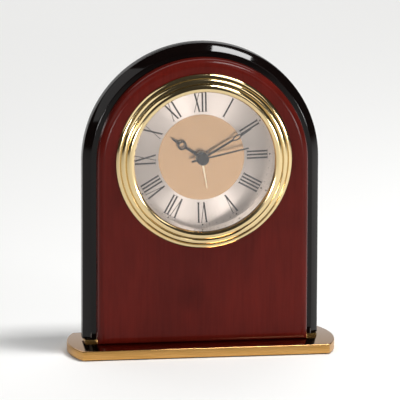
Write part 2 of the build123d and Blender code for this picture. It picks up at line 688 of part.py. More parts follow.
with BuildPart() as quartz_crystal:
    crystal_origin = (CRYSTAL_AT[0], PANEL_FRONT + PCB_DEPTH - CRYSTAL_R, DIAL_Z + CRYSTAL_AT[1])
    with BuildSketch(Plane(origin=crystal_origin, x_dir=(1, 0, 0), z_dir=(0, 0, 1))):
        Circle(CRYSTAL_R)
    extrude(amount=CRYSTAL_LENGTH / 2, both=True)
save("quartz_crystal", quartz_crystal)

SOUNDER_PORT_R = 1.2
SOUNDER_PORT_DEEP = 1.0
with BuildPart() as alarm_sounder:
    with BuildSketch(square_to_hands(PCB_DEPTH - SOUNDER_THICK)):
        with Locations(SOUNDER_AT):
            Circle(SOUNDER_R)
    extrude(amount=-SOUNDER_THICK)
    with BuildSketch(square_to_hands(PCB_DEPTH - SOUNDER_THICK)):
        with Locations(SOUNDER_AT):
            Circle(SOUNDER_PORT_R)
    extrude(amount=-SOUNDER_PORT_DEEP, mode=Mode.SUBTRACT)
save("alarm_sounder", alarm_sounder)

# Contacts at the two ends of the bay: a sprung leaf with a round pad towards the cell.
BAY_END = BOX_HALF_WIDTH - BOX_WALL
CONTACT_SIZE = (10.0, 9.0)
CONTACT_THICK = 0.3
CONTACT_PAD_R = 2.4
CONTACT_PAD_OUT = 0.5
for side, name in ((1, "battery_contact_positive"), (-1, "battery_contact_negative")):
    leaf_origin = (side * BAY_END, PANEL_FRONT + BATTERY_DEPTH, DIAL_Z + BATTERY_Z)
    with BuildPart() as contact:
        with BuildSketch(Plane(origin=leaf_origin, x_dir=(0, 1, 0), z_dir=(-side, 0, 0))):
            Rectangle(*CONTACT_SIZE)
        extrude(amount=CONTACT_THICK)
        with BuildSketch(Plane(origin=leaf_origin, x_dir=(0, 1, 0), z_dir=(-side, 0, 0))):
            Circle(CONTACT_PAD_R)
        extrude(amount=CONTACT_PAD_OUT)
    save(name, contact)

# ==== Going train =============================================================================

# Seconds arbor with its wheel and pinion.
with BuildPart() as second_wheel:
    with BuildSketch(square_to_hands(SECOND_HAND_DEPTH)):
        Circle(SECOND_ARBOR_R)
    extrude(amount=-(BEARING_END - SECOND_HAND_DEPTH))
    with BuildSketch(square_to_hands(LAYER_THIRD)):
        draw_gear(SECOND_LEAVES, THIRD_MODULE, THIRD_BEARING)
    extrude(amount=-WHEEL_THICK)
    with BuildSketch(square_to_hands(LAYER_SECOND)):
        draw_gear(SECOND_TEETH, SECOND_MODULE, INTERMEDIATE_BEARING)
    extrude(amount=-WHEEL_THICK)
save("second_wheel", second_wheel)

# Third wheel: driven by the seconds pinion, drives the centre wheel.
with BuildPart() as third_wheel:
    with BuildSketch(square_to_hands(MIDDLE_PLATE_DEPTH + 0.1)):
        with Locations(THIRD_AT):
            Circle(TRAIN_ARBOR_R)
    extrude(amount=-(BEARING_END - MIDDLE_PLATE_DEPTH - 0.1))
    with BuildSketch(square_to_hands(LAYER_CENTRE)):
        draw_gear(THIRD_LEAVES, CENTRE_MODULE, THIRD_BEARING + 180, THIRD_AT)
    extrude(amount=-WHEEL_THICK)
    with BuildSketch(square_to_hands(LAYER_THIRD)):
        draw_gear(THIRD_TEETH, THIRD_MODULE, gap_facing(THIRD_TEETH, THIRD_BEARING + 180), THIRD_AT)
    extrude(amount=-WHEEL_THICK)
save("third_wheel", third_wheel)

# Centre wheel: rides on the minute pipe as a friction clutch.
with BuildPart() as centre_wheel:
    with BuildSketch(square_to_hands(LAYER_CENTRE)):
        draw_gear(CENTRE_TEETH, CENTRE_MODULE, gap_facing(CENTRE_TEETH, THIRD_BEARING))
        Circle(MINUTE_PIPE_R + 0.03, mode=Mode.SUBTRACT)
    extrude(amount=-WHEEL_THICK)
    with BuildSketch(square_to_hands(LAYER_CENTRE - 0.3)):
        Circle(2.4)
        Circle(MINUTE_PIPE_R + 0.03, mode=Mode.SUBTRACT)
    extrude(amount=-0.3)
save("centre_wheel", centre_wheel)

# Intermediate wheel: steps the rotor down to the seconds wheel.
with BuildPart() as intermediate_wheel:
    with BuildSketch(square_to_hands(MIDDLE_PLATE_DEPTH + 0.1)):
        with Locations(INTERMEDIATE_AT):
            Circle(TRAIN_ARBOR_R)
    extrude(amount=-(BEARING_END - MIDDLE_PLATE_DEPTH - 0.1))
    with BuildSketch(square_to_hands(LAYER_SECOND)):
        tooth_at = gap_facing(INTERMEDIATE_LEAVES, INTERMEDIATE_BEARING + 180)
        draw_gear(INTERMEDIATE_LEAVES, SECOND_MODULE, tooth_at, INTERMEDIATE_AT)
    extrude(amount=-WHEEL_THICK)
    with BuildSketch(square_to_hands(LAYER_INTERMEDIATE)):
        draw_gear(INTERMEDIATE_TEETH, ROTOR_MODULE, ROTOR_BEARING, INTERMEDIATE_AT)
    extrude(amount=-WHEEL_THICK)
save("intermediate_wheel", intermediate_wheel)

with BuildPart() as rotor_pinion:
    with BuildSketch(square_to_hands(MIDDLE_PLATE_DEPTH + 0.1)):
        with Locations(ROTOR_AT):
            Circle(TRAIN_ARBOR_R)
    extrude(amount=-(BEARING_END - MIDDLE_PLATE_DEPTH - 0.1))
    with BuildSketch(square_to_hands(LAYER_INTERMEDIATE)):
        draw_gear(ROTOR_LEAVES, ROTOR_MODULE, gap_facing(ROTOR_LEAVES, ROTOR_BEARING + 180), ROTOR_AT)
    extrude(amount=-WHEEL_THICK)
save("rotor_pinion", rotor_pinion)

with BuildPart() as rotor_magnet:
    with BuildSketch(square_to_hands(LAYER_MAGNET)):
        with Locations(ROTOR_AT):
            Circle(MAGNET_R)
            Circle(TRAIN_ARBOR_R, mode=Mode.SUBTRACT)
    extrude(amount=-2.2)
save("rotor_magnet", rotor_magnet)

# ==== Motion work =============================================================================

# Minute pipe, from the clutch to the minute hand.
with BuildPart() as minute_pipe:
    with BuildSketch(square_to_hands(LAYER_MOTION)):
        draw_gear(MINUTE_LEAVES, MOTION_MODULE, 180)
    extrude(amount=-WHEEL_THICK)
    with BuildSketch(square_to_hands(MINUTE_HAND_DEPTH)):
        Circle(MINUTE_PIPE_R)
    extrude(amount=-(LAYER_CENTRE + WHEEL_THICK + 0.1 - MINUTE_HAND_DEPTH))
    with BuildSketch(square_to_hands(MINUTE_HAND_DEPTH)):
        Circle(SECOND_ARBOR_R + RUNNING_GAP)
    extrude(amount=-(LAYER_CENTRE + WHEEL_THICK + 0.1 - MINUTE_HAND_DEPTH), mode=Mode.SUBTRACT)
save("minute_pipe", minute_pipe)

# Motion wheel: its arbor comes out of the back and carries the time-set knob.
with BuildPart() as motion_wheel:
    with BuildSketch(square_to_hands(FRONT_PLATE_DEPTH + 0.7)):
        with Locations(TIME_SET_AT):
            Circle(SETTING_ARBOR_R)
    extrude(amount=-(KNOB_DEPTH + 2.5 - FRONT_PLATE_DEPTH - 0.7))
    with BuildSketch(square_to_hands(LAYER_HOUR)):
        draw_gear(MOTION_LEAVES, HOUR_MODULE, 0, TIME_SET_AT)
    extrude(amount=-WHEEL_THICK)
    with BuildSketch(square_to_hands(LAYER_MOTION)):
        draw_gear(MOTION_TEETH, MOTION_MODULE, gap_facing(MOTION_TEETH, 0), TIME_SET_AT)
    extrude(amount=-WHEEL_THICK)
save("motion_wheel", motion_wheel)

with BuildPart() as hour_wheel:
    with BuildSketch(square_to_hands(LAYER_HOUR)):
        draw_gear(HOUR_TEETH, HOUR_MODULE, gap_facing(HOUR_TEETH, 180))
    extrude(amount=-WHEEL_THICK)
    with BuildSketch(square_to_hands(HOUR_HAND_DEPTH)):
        Circle(HOUR_PIPE_R)
    extrude(amount=-(LAYER_HOUR + WHEEL_THICK + 0.1 - HOUR_HAND_DEPTH))
    with BuildSketch(square_to_hands(HOUR_HAND_DEPTH)):
        Circle(MINUTE_PIPE_R + RUNNING_GAP)
    extrude(amount=-(LAYER_HOUR + WHEEL_THICK + 0.1 - HOUR_HAND_DEPTH), mode=Mode.SUBTRACT)
save("hour_wheel", hour_wheel)

with BuildPart() as alarm_wheel:
    with BuildSketch(square_to_hands(LAYER_ALARM)):
        draw_gear(ALARM_TEETH, ALARM_MODULE, 0)
    extrude(amount=-WHEEL_THICK)
    with BuildSketch(square_to_hands(ALARM_HAND_DEPTH)):
        Circle(ALARM_PIPE_R)
    extrude(amount=-(LAYER_ALARM + WHEEL_THICK - ALARM_HAND_DEPTH))
    with BuildSketch(square_to_hands(ALARM_HAND_DEPTH)):
        Circle(HOUR_PIPE_R + RUNNING_GAP)
    extrude(amount=-(LAYER_ALARM + WHEEL_THICK - ALARM_HAND_DEPTH), mode=Mode.SUBTRACT)
save("alarm_wheel", alarm_wheel)

with BuildPart() as alarm_set_arbor:
    with BuildSketch(square_to_hands(FRONT_PLATE_DEPTH + 0.7)):
        with Locations(ALARM_SET_AT):
            Circle(SETTING_ARBOR_R)
    extrude(amount=-(KNOB_DEPTH + 2.5 - FRONT_PLATE_DEPTH - 0.7))
    with BuildSketch(square_to_hands(LAYER_ALARM)):
        draw_gear(ALARM_LEAVES, ALARM_MODULE, gap_facing(ALARM_LEAVES, 180), ALARM_SET_AT)
    extrude(amount=-WHEEL_THICK)
save("alarm_set_arbor", alarm_set_arbor)

# Fluted knobs on the ends of the two setting arbors.
for name, place in (("time_set_knob", TIME_SET_AT), ("alarm_set_knob", ALARM_SET_AT)):
    with BuildPart() as knob:
        with BuildSketch(square_to_hands(KNOB_DEPTH)):
            with Locations(place):
                Circle(KNOB_R)
                with PolarLocations(KNOB_R + 0.15, KNOB_FLUTES):
                    Circle(0.45, mode=Mode.SUBTRACT)
        extrude(amount=-KNOB_LENGTH)
        with BuildSketch(square_to_hands(KNOB_DEPTH)):
            with Locations(place):
                Circle(SETTING_ARBOR_R)
        extrude(amount=-2.5, mode=Mode.SUBTRACT)
    save(name, knob)

# ==== Hands ===================================================================================

with BuildPart() as second_hand:
    with BuildSketch(along_hand(SECOND_HAND_DEPTH, SECOND_ANGLE)):
        draw_needle(-5.8, 0, 1.1, 0.9)
        draw_needle(0, 24.0, 0.85, 0.7)
        Circle(1.2)
        Circle(SECOND_ARBOR_R, mode=Mode.SUBTRACT)
    extrude(amount=-HAND_THICK)
    with BuildSketch(square_to_hands(HUB_CAP_DEPTH)):
        Circle(HUB_CAP_R)
    extrude(amount=-(SECOND_HAND_DEPTH - HUB_CAP_DEPTH))
    fillet(second_hand.faces().sort_by(Axis.Y)[0].edges(), 0.5)
save("second_hand", second_hand)

with BuildPart() as minute_hand:
    with BuildSketch(along_hand(MINUTE_HAND_DEPTH, MINUTE_ANGLE)):
        Circle(2.6)
        draw_needle(0, 18.4, 1.15, 1.0)
        with Locations((0, 20.6)):
            Ellipse(1.3, 2.6)
            Ellipse(0.65, 1.9, mode=Mode.SUBTRACT)
        draw_needle(22.9, 29.0, 1.3, 0.3)
        Circle(MINUTE_PIPE_R, mode=Mode.SUBTRACT)
    extrude(amount=-HAND_THICK)
save("minute_hand", minute_hand)

with BuildPart() as hour_hand:
    with BuildSketch(along_hand(HOUR_HAND_DEPTH, HOUR_ANGLE)):
        Circle(3.0)
        draw_needle(0, 10.4, 1.3, 1.15)
        with Locations((0, 12.2)):
            Ellipse(2.45, 2.3)
            Ellipse(1.55, 1.4, mode=Mode.SUBTRACT)
        draw_needle(13.9, 18.8, 1.6, 0.4)
        Circle(HOUR_PIPE_R, mode=Mode.SUBTRACT)
    extrude(amount=-HAND_THICK)
save("hour_hand", hour_hand)

with BuildPart() as alarm_hand:
    with BuildSketch(along_hand(ALARM_HAND_DEPTH, ALARM_ANGLE)):
        Circle(3.2)
        draw_needle(0, 16.0, 1.2, 0.4)
        Circle(ALARM_PIPE_R, mode=Mode.SUBTRACT)
    extrude(amount=-HAND_THICK)
save("alarm_hand", alarm_hand)

# ==== Switch and battery ======================================================================

# Alarm switch: a slider behind the back wall with a thumb tab through the slot.
with BuildPart() as alarm_switch:
    with BuildSketch(square_to_hands(BACK_WALL_DEPTH - 1.1)):
        with Locations(SWITCH_AT):
            Rectangle(SWITCH_WIDTH, SWITCH_HEIGHT)
    extrude(amount=-1.0)
    with BuildSketch(square_to_hands(BACK_WALL_DEPTH - 0.1)):
        with Locations(SWITCH_AT):
            Rectangle(SWITCH_TAB, SWITCH_TAB)
    extrude(amount=-(BACK_WALL_THICK + 2.3))
save("alarm_switch", alarm_switch)

# AA cell lying across the bay, its nub to the right.
with BuildPart() as battery:
    cell_origin = (-BATTERY_LENGTH / 2 - BATTERY_NUB / 2, PANEL_FRONT + BATTERY_DEPTH, DIAL_Z + BATTERY_Z)
    with BuildSketch(Plane(origin=cell_origin, x_dir=(0, 1, 0), z_dir=(1, 0, 0))):
        Circle(BATTERY_R)
    extrude(amount=BATTERY_LENGTH)
    with BuildSketch(Plane(origin=cell_origin, x_dir=(0, 1, 0), z_dir=(1, 0, 0))):
        Circle(BATTERY_NUB_R)
    extrude(amount=BATTERY_LENGTH + BATTERY_NUB)
save("battery", battery)
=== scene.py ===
import math

import bmesh
import bpy
from mathutils import Matrix, Vector


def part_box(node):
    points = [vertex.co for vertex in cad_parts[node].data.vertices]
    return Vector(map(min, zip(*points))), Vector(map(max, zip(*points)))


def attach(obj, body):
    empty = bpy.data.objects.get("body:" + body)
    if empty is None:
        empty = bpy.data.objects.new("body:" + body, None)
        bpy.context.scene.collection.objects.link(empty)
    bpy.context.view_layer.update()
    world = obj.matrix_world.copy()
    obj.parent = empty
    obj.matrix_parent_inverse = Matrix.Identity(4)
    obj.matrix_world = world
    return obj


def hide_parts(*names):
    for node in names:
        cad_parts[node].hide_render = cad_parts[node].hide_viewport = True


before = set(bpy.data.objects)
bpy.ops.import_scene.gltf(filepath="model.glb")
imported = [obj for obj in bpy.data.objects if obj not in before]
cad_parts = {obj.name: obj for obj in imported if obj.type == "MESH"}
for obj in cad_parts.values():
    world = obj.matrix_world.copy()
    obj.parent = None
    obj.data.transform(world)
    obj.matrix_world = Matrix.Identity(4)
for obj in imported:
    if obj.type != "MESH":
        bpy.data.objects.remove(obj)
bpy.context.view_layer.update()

# ==== Camera ================================================================================
# A long lens from the front left and a little above, so square on that the arch keeps its
# shape and the uprights stay parallel.
camera_data = bpy.data.cameras.new("camera")
camera_data.sensor_width = 36.0
camera_data.lens = 555.0
camera_data.shift_x = -0.0229
camera_data.shift_y = -0.0291
camera_data.clip_start = 0.1
camera_data.clip_end = 20.0
camera = bpy.data.objects.new("camera", camera_data)
bpy.context.scene.collection.objects.link(camera)
camera.location = (-0.4431, -3.0191, 0.7394)
turned_left = math.radians(8.425)
looking_down = math.radians(12.135)
heading = Matrix.Rotation(-turned_left, 4, "Z")
tilt = Matrix.Rotation(math.radians(90) - looking_down, 4, "X")
roll = Matrix.Rotation(math.radians(0.232), 4, "Z")
camera.rotation_euler = (heading @ tilt @ roll).to_euler()
bpy.context.scene.camera = camera

# ==== Base plate ============================================================================
# A thick brass plate with bowed ends, standing under the whole clock. The top is polished and
# lacquered, the sawn edge is left satin, and the top edge has a fine chamfer all round.
mm = 0.001


def linear(code):
    """An sRGB hex colour as linear RGBA."""
    parts = [int(code[i : i + 2], 16) / 255 for i in (1, 3, 5)]
    return [p / 12.92 if p <= 0.04045 else ((p + 0.055) / 1.055) ** 2.4 for p in parts] + [1.0]


def add_node(tree, kind, sockets=None, **settings):
    """Adds a node; sockets holds values for its inputs, or the outputs that feed them."""
    node = tree.nodes.new(kind)
    for name, value in settings.items():
        setattr(node, name, value)
    for name, value in (sockets or {}).items():
        if isinstance(value, bpy.types.NodeSocket):
            tree.links.new(value, node.inputs[name])
        else:
            node.inputs[name].default_value = value
    return node


def start_material(name, **sockets):
    """A material with one shader: gives the material, its tree, its shader and its place."""
    material = bpy.data.materials.new(name)
    material.use_nodes = True
    tree = material.node_tree
    shader = tree.nodes["Principled BSDF"]
    for socket, value in sockets.items():
        shader.inputs[socket.replace("_", " ")].default_value = value
    place = add_node(tree, "ShaderNodeTexCoord").outputs["Object"]
    return material, tree, shader, place


def finish_piece(maker, name, material, stands_for=(), sharp_from=35, body="clock_case"):
    """Turns a bmesh into a piece of the clock, smooth except at its sharp edges."""
    bmesh.ops.remove_doubles(maker, verts=maker.verts, dist=0.001 * mm)
    bmesh.ops.recalc_face_normals(maker, faces=maker.faces)
    mesh = bpy.data.meshes.new(name)
    maker.to_mesh(mesh)
    maker.free()
    mesh.materials.append(material)
    mesh.shade_smooth()
    mesh.set_sharp_from_angle(angle=math.radians(sharp_from))
    piece = bpy.data.objects.new(name, mesh)
    bpy.context.scene.collection.objects.link(piece)
    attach(piece, body)
    if stands_for:
        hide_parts(*stands_for)
    return piece


base_low, base_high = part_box("base_plate")
corner_x = 63.0 * mm
half_depth = base_high.y
bow = base_high.x - corner_x
chamfer = 0.5 * mm
end_steps = 40
end_radius = (half_depth**2 + bow**2) / (2 * bow)
end_angle = 2 * math.asin(half_depth / end_radius)

plate = bmesh.new()
end_corners = []
for side in (1, -1):
    corner = plate.verts.new((side * corner_x, -side * half_depth, base_low.z))
    centre = (side * (base_high.x - end_radius), 0, base_low.z)
    end = bmesh.ops.spin(
        plate,
        geom=[corner],
        cent=centre,
        axis=(0, 0, 1),
        angle=end_angle,
        steps=end_steps,
        use_duplicate=False,
    )
    last = [g for g in end["geom_last"] if isinstance(g, bmesh.types.BMVert)][0]
    end_corners.append((corner, last))
plate.edges.new((end_corners[0][1], end_corners[1][0]))
plate.edges.new((end_corners[1][1], end_corners[0][0]))
underside = bmesh.ops.edgeloop_fill(plate, edges=plate.edges[:])
block = bmesh.ops.extrude_face_region(plate, geom=underside["faces"], use_keep_orig=True)
raised = [g for g in block["geom"] if isinstance(g, bmesh.types.BMVert)]
bmesh.ops.translate(plate, vec=(0, 0, base_high.z - base_low.z), verts=raised)
top_edges = [e for e in plate.edges if min(v.co.z for v in e.verts) > base_high.z - 0.1 * mm]
bmesh.ops.bevel(
    plate,
    geom=top_edges,
    offset=chamfer,
    affect="EDGES",
    segments=3,
    profile=0.5,
    material=-1,
)

# Lacquered brass: a mirror on top that darkens what it shows, and a satin edge whose brushing
# runs round the plate. The true brush lines are finer than drawn here.
lacquered_brass, tree, shader, place = start_material("lacquered_brass", Metallic=1.0)
brush_length = 14 * mm
brush_spacing = 0.18 * mm
brush_place = add_node(
    tree,
    "ShaderNodeMapping",
    {"Vector": place, "Scale": (1 / brush_length, 1 / brush_length, 1 / brush_spacing)},
)
brush = add_node(
    tree, "ShaderNodeTexNoise", {"Vector": brush_place.outputs["Vector"], "Scale": 1.0, "Detail": 3.0}
)
edge_tone = add_node(tree, "ShaderNodeValToRGB", {"Fac": brush.outputs["Fac"]})
edge_tone.color_ramp.elements[0].position = 0.3
edge_tone.color_ramp.elements[0].color = linear("#b98a48")
edge_tone.color_ramp.elements[1].position = 0.7
edge_tone.color_ramp.elements[1].color = linear("#d2a262")
height = add_node(tree, "ShaderNodeSeparateXYZ", {"Vector": place})
on_top = add_node(
    tree,
    "ShaderNodeMapRange",
    {
        "Value": height.outputs["Z"],
        "From Min": base_high.z - 0.3 * mm,
        "From Max": base_high.z - 0.02 * mm,
    },
)
tone = add_node(
    tree,
    "ShaderNodeMix",
    {0: on_top.outputs["Result"], 6: edge_tone.outputs["Color"], 7: linear("#b08a62")},
    data_type="RGBA",
)
polish = add_node(
    tree, "ShaderNodeMapRange", {"Value": on_top.outputs["Result"], "To Min": 0.34, "To Max": 0.1}
)
tree.links.new(tone.outputs[2], shader.inputs["Base Color"])
tree.links.new(polish.outputs["Result"], shader.inputs["Roughness"])
finish_piece(plate, "brass_base", lacquered_brass, ["base_plate"])

# ==== Felt pad ==============================================================================
# Thin wool felt glued under the plate, just inside its edge, so that the clock doesn't mark
# the furniture it stands on.


def give_finish(material, *names):
    """Gives pieces carried over from the frame their finish."""
    for name in names:
        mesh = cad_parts[name].data
        mesh.materials.clear()
        mesh.materials.append(material)


# Wool felt: matt and nearly black, mottled by matted fibres.
wool_felt, tree, shader, place = start_material("wool_felt", Roughness=1.0, Sheen_Weight=0.4)
fibres = add_node(
    tree, "ShaderNodeTexNoise", {"Vector": place, "Scale": 1 / (0.5 * mm), "Detail": 4.0}
)
tone = add_node(tree, "ShaderNodeValToRGB", {"Fac": fibres.outputs["Fac"]})
tone.color_ramp.elements[0].color = linear("#0f1f16")
tone.color_ramp.elements[1].color = linear("#25392c")
nap = add_node(
    tree, "ShaderNodeBump", {"Height": fibres.outputs["Fac"], "Distance": 0.2 * mm, "Strength": 0.6}
)
tree.links.new(tone.outputs["Color"], shader.inputs["Base Color"])
tree.links.new(nap.outputs["Normal"], shader.inputs["Normal"])
give_finish(wool_felt, "felt_pad")

# ==== Riser strip ===========================================================================
# A gilt strip that lifts the black board just off the plate; only its ends show, under the
# two uprights.

# Gilt brass: brighter than the plate, with a little haze from handling.
gilt_brass, tree, shader, place = start_material(
    "gilt_brass", Base_Color=linear("#dcb873"), Metallic=1.0
)
haze = add_node(tree, "ShaderNodeTexNoise", {"Vector": place, "Scale": 1 / (6 * mm), "Detail": 3.0})
polish = add_node(
    tree, "ShaderNodeMapRange", {"Value": haze.outputs["Fac"], "To Min": 0.14, "To Max": 0.3}
)
tree.links.new(polish.outputs["Result"], shader.inputs["Roughness"])
give_finish(gilt_brass, "riser_strip")

# ==== Arch board ============================================================================
# Fibreboard in the shape of an arch, screwed to the base from below. A wide bevel runs up
# both sides and over the crown, and the bore for the clock insert goes right through.
board_low, board_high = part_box("arch_board")
bezel_low, bezel_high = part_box("bezel")
dial_z = (bezel_low.z + bezel_high.z) / 2
bore_radius = 41.2 * mm
board_bevel = 3.8 * mm
board_crease = 0.35 * mm
crown_steps = 120
upright_cuts = 7
foot_cuts = 13


def start_arch(low, high):
    """A board with a round-topped outline and the insert's bore; gives the edges of its rim."""
    half_width = high.x
    springing = high.z - half_width
    maker = bmesh.new()
    right = maker.verts.new((half_width, low.y, springing))
    crown = bmesh.ops.spin(
        maker,
        geom=[right],
        cent=(0, low.y, springing),
        axis=(0, -1, 0),
        angle=math.pi,
        steps=crown_steps,
    )
    left = [g for g in crown["geom_last"] if isinstance(g, bmesh.types.BMVert)][0]
    feet = [maker.verts.new((v.co.x, low.y, low.z)) for v in (right, left)]
    sides = [maker.edges.new(pair) for pair in ((feet[0], right), (left, feet[1]))]
    foot = maker.edges.new(feet)
    bmesh.ops.subdivide_edges(maker, edges=sides, cuts=upright_cuts)
    bmesh.ops.subdivide_edges(maker, edges=[foot], cuts=foot_cuts)
    outline = maker.edges[:]
    bore = bmesh.ops.create_circle(
        maker,
        segments=len(outline),
        radius=bore_radius,
        matrix=Matrix.Translation((0, low.y, dial_z)) @ Matrix.Rotation(math.pi / 2, 4, "X"),
    )
    bore_edges = list({edge for vert in bore["verts"] for edge in vert.link_edges})
    face = bmesh.ops.bridge_loops(maker, edges=outline + bore_edges)
    block = bmesh.ops.extrude_face_region(maker, geom=face["faces"], use_keep_orig=True)
    back = [g for g in block["geom"] if isinstance(g, bmesh.types.BMVert)]
    bmesh.ops.translate(maker, vec=(0, high.y - low.y, 0), verts=back)
    rim = [edge for edge in outline if edge.is_valid]
    return maker, rim


def bevel_edges(maker, edges, offset, segments):
    """Bevels edges, rounded when it has several segments; gives the new faces."""
    return bmesh.ops.bevel(
        maker,
        geom=edges,
        offset=offset,
        affect="EDGES",
        segments=segments,
        profile=0.5,
        material=-1,
        clamp_overlap=True,
    )["faces"]


board, rim = start_arch(board_low, board_high)
above_foot = board_low.z + 0.1 * mm
sides_and_crown = [e for e in rim if max(v.co.z for v in e.verts) > above_foot]
bevel = bevel_edges(board, sides_and_crown, board_bevel, 1)
crease_from = math.radians(30)
creases = []
for edge in {edge for face in bevel for edge in face.edges}:
    if len(edge.link_faces) == 2 and edge.calc_face_angle() > crease_from:
        if max(v.co.z for v in edge.verts) > above_foot:
            creases.append(edge)
bevel_edges(board, creases, board_crease, 3)

# Piano lacquer over black: it shows the lamps as in dark glass. Buffing leaves a slow ripple.
piano_lacquer, tree, shader, place = start_material(
    "piano_lacquer", Roughness=0.07, Specular_IOR_Level=0.22
)
ripple = add_node(tree, "ShaderNodeTexNoise", {"Vector": place, "Scale": 1 / (7 * mm), "Detail": 1.0})
tone = add_node(tree, "ShaderNodeValToRGB", {"Fac": ripple.outputs["Fac"]})
tone.color_ramp.elements[0].color = linear("#060303")
tone.color_ramp.elements[1].color = linear("#0d0605")
buffing = add_node(
    tree, "ShaderNodeBump", {"Height": ripple.outputs["Fac"], "Distance": 0.02 * mm, "Strength": 0.3}
)
tree.links.new(tone.outputs["Color"], shader.inputs["Base Color"])
tree.links.new(buffing.outputs["Normal"], shader.inputs["Normal"])
finish_piece(board, "black_board", piano_lacquer, ["arch_board"], sharp_from=22)

# ==== Front panel ===========================================================================
# A smaller arch of mahogany, glued and dowelled to the black board. Its front edges are
# rounded over, so the light runs round them in one line.
panel_low, panel_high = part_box("front_panel")
panel, rim = start_arch(panel_low, panel_high)
panel_round = 3.8 * mm
bevel_edges(panel, rim, panel_round, 10)

# Stained mahogany under gloss lacquer: deep red, the grain upright. The pores are drawn a
# millimetre apart, wider than they are, and stay faint under the stain. Slow bands and one small
# knot are where the wood took more colour.
mahogany, tree, shader, place = start_material(
    "stained_mahogany", Roughness=0.18, Specular_IOR_Level=0.1
)
pore_size = (1 * mm, 2 * mm, 18 * mm)
pore_place = add_node(
    tree, "ShaderNodeMapping", {"Vector": place, "Scale": [1 / size for size in pore_size]}
)
pores = add_node(
    tree, "ShaderNodeTexNoise", {"Vector": pore_place.outputs["Vector"], "Scale": 1.0, "Detail": 4.0}
)
knot_x, knot_z = -6 * mm, 31 * mm
knot_width, knot_height = 8 * mm, 12 * mm
knot_place = add_node(
    tree,
    "ShaderNodeMapping",
    {
        "Vector": place,
        "Location": (-knot_x / knot_width, 0, -knot_z / knot_height),
        "Scale": (1 / knot_width, 0, 1 / knot_height),
    },
)
knot = add_node(
    tree, "ShaderNodeTexGradient", {"Vector": knot_place.outputs["Vector"]}, gradient_type="SPHERICAL"
)
band_size = (17 * mm, 17 * mm, 48 * mm)
band_place = add_node(
    tree, "ShaderNodeMapping", {"Vector": place, "Scale": [1 / size for size in band_size]}
)
swirl = add_node(
    tree, "ShaderNodeMapRange", {"Value": knot.outputs["Fac"], "To Min": 0.6, "To Max": 3.0}
)
bands = add_node(
    tree,
    "ShaderNodeTexNoise",
    {
        "Vector": band_place.outputs["Vector"],
        "Scale": 1.0,
        "Detail": 3.0,
        "Distortion": swirl.outputs["Result"],
    },
)
stain = add_node(tree, "ShaderNodeValToRGB", {"Fac": bands.outputs["Fac"]})
stain.color_ramp.elements[0].position = 0.25
stain.color_ramp.elements[0].color = linear("#4b130e")
stain.color_ramp.elements[1].position = 0.75
stain.color_ramp.elements[1].color = linear("#5c1812")
streak = add_node(tree, "ShaderNodeValToRGB", {"Fac": pores.outputs["Fac"]})
streak.color_ramp.elements[0].position = 0.3
streak.color_ramp.elements[0].color = linear("#efe9e8")
streak.color_ramp.elements[1].position = 0.6
streak.color_ramp.elements[1].color = linear("#ffffff")
grain = add_node(
    tree,
    "ShaderNodeMix",
    {0: 1.0, 6: stain.outputs["Color"], 7: streak.outputs["Color"]},
    data_type="RGBA",
    blend_type="MULTIPLY",
)
shade = add_node(
    tree, "ShaderNodeMapRange", {"Value": knot.outputs["Fac"], "To Min": 1.0, "To Max": 0.6}
)
knotted = add_node(
    tree,
    "ShaderNodeMix",
    {0: 1.0, 6: grain.outputs[2], 7: shade.outputs["Result"]},
    data_type="RGBA",
    blend_type="MULTIPLY",
)
tree.links.new(knotted.outputs[2], shader.inputs["Base Color"])
finish_piece(panel, "mahogany_panel", mahogany, ["front_panel"], sharp_from=30)

# ==== Dowels ================================================================================
# Two short rods of beech, each glued half into the panel and half into the board, that line
# the two up while the glue sets. They can't be seen once the case is together.

# Beech: pale, with short darker flecks along the grain.
beech, tree, shader, place = start_material("beech", Roughness=0.6)
fleck_size = (0.5 * mm, 4 * mm, 0.5 * mm)
fleck_place = add_node(
    tree, "ShaderNodeMapping", {"Vector": place, "Scale": [1 / size for size in fleck_size]}
)
flecks = add_node(
    tree, "ShaderNodeTexNoise", {"Vector": fleck_place.outputs["Vector"], "Scale": 1.0}
)
tone = add_node(tree, "ShaderNodeValToRGB", {"Fac": flecks.outputs["Fac"]})
tone.color_ramp.elements[0].color = linear("#a97a4e")
tone.color_ramp.elements[1].color = linear("#cfa677")
tree.links.new(tone.outputs["Color"], shader.inputs["Base Color"])
give_finish(beech, "dowels")

# ==== Bezel =================================================================================
# A brass ring spun in three rounded steps that climb inwards, then a short slope down to the
# glass. A skirt behind it snaps over the insert's cup.


def rounded_step(start, end, bulge):
    """Points of one low round between two (radius, depth) points in millimetres."""
    chord = Vector(end) - Vector(start)
    outward = Vector((-chord.y, chord.x)).normalized() * bulge
    points = []
    facets = 8
    for number in range(facets + 1):
        share = number / facets
        points.append(Vector(start) + chord * share + outward * 4 * share * (1 - share))
    return points


ring_steps = 180


def spin_ring(profile, face_y):
    """A ring spun round the hands' axis from a closed (radius, depth) profile in millimetres."""
    maker = bmesh.new()
    verts = [maker.verts.new((p[0] * mm, face_y + p[1] * mm, dial_z)) for p in profile]
    edges = [maker.edges.new((vert, verts[number - 1])) for number, vert in enumerate(verts)]
    bmesh.ops.spin(
        maker,
        geom=verts + edges,
        cent=(0, face_y, dial_z),
        axis=(0, 1, 0),
        angle=2 * math.pi,
        steps=ring_steps,
        use_merge=True,
    )
    return maker


bezel_profile = (
    [(38.7, 0.0), (45.0, 0.0)]
    + rounded_step((45.0, -0.6), (43.1, -2.0), 0.35)
    + rounded_step((42.7, -1.7), (40.4, -3.3), 0.45)
    + rounded_step((39.9, -2.95), (37.4, -4.3), 0.4)
    + [(36.3, -3.8), (35.8, -2.8), (37.5, -2.8), (37.5, 3.0), (38.7, 3.0)]
)
bezel = spin_ring(bezel_profile, panel_low.y)

